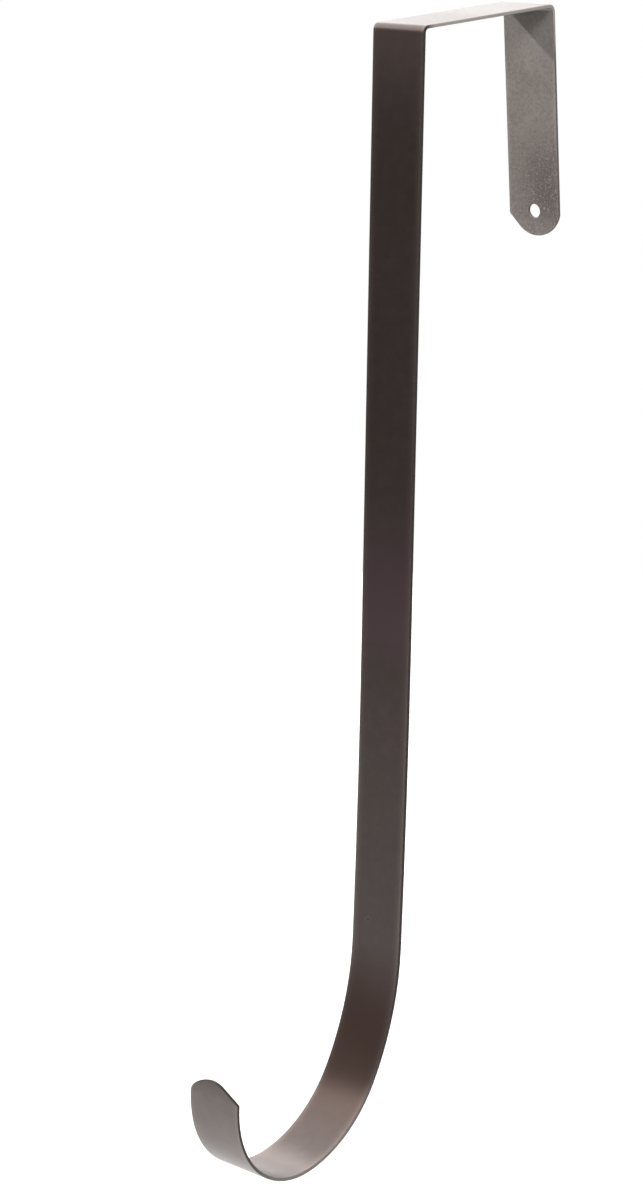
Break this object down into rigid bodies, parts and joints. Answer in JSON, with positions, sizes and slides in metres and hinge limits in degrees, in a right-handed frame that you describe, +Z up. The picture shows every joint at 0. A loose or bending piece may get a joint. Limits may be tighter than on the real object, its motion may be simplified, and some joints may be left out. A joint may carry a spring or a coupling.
{
  "type": "over door hook",
  "caption": "Over door hook bent from one flat steel strip: a bridge over the door, a drilled back leg, a long strap and a rolled hook.",
  "frame": {"origin": "middle of the underside of the bridge, where the hook sits on the top of the door", "axes": "+Z up along the strap, +Y from the hook through the door to the back leg, +X across the strip, to the right as seen from the room with the hook"},
  "size_m": [0.015, 0.1156, 0.2739],
  "materials": {
    "hook_strap": "satin dark bronze paint"
  },
  "bodies": {
    "root": {"hook_strap": "hook_strap"}
  },
  "joints": []
}
